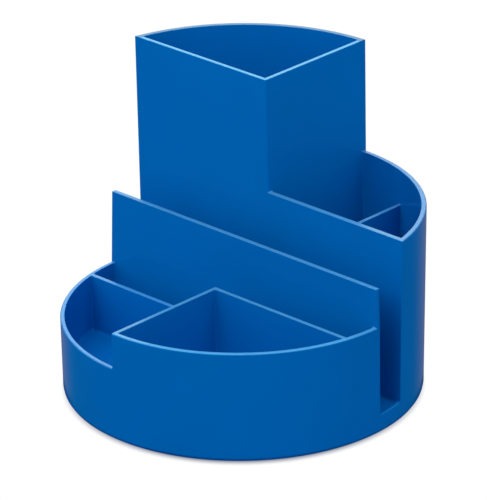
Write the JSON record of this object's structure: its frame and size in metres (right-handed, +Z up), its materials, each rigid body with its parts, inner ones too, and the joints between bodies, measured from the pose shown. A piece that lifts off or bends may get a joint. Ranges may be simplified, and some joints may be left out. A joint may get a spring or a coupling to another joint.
{
  "type": "desk organizer",
  "caption": "Round desk organizer with a tall pen tower, an open note slot, a long trough, a low tray and smaller compartments, moulded in glossy plastic.",
  "frame": {"origin": "on the drum's axis at table level, under the middle of the base", "axes": "+Z up, +X along the note slot, away from the pen tower's side of the drum, +Y towards the pen tower at the back"},
  "size_m": [0.1392, 0.1403, 0.121],
  "materials": {
    "shell": "glossy injection moulded plastic, blue",
    "pads": "matt soft rubber, dark grey"
  },
  "bodies": {
    "root": {"base_skirt": "shell", "floor_plate": "shell", "foot_seats": "shell", "slot_kerbs": "shell", "tray_outer_wall": "shell", "wedge_outer_wall": "shell", "rear_outer_wall": "shell", "tower_outer_wall": "shell", "tower_front_wall": "shell", "tower_side_wall": "shell", "slot_back_wall": "shell", "slot_front_wall": "shell", "tray_back_wall": "shell", "wedge_back_wall": "shell", "wedge_side_wall": "shell", "rear_divider": "shell", "front_left_foot": "pads", "front_right_foot": "pads", "rear_left_foot": "pads", "rear_right_foot": "pads"}
  },
  "joints": []
}
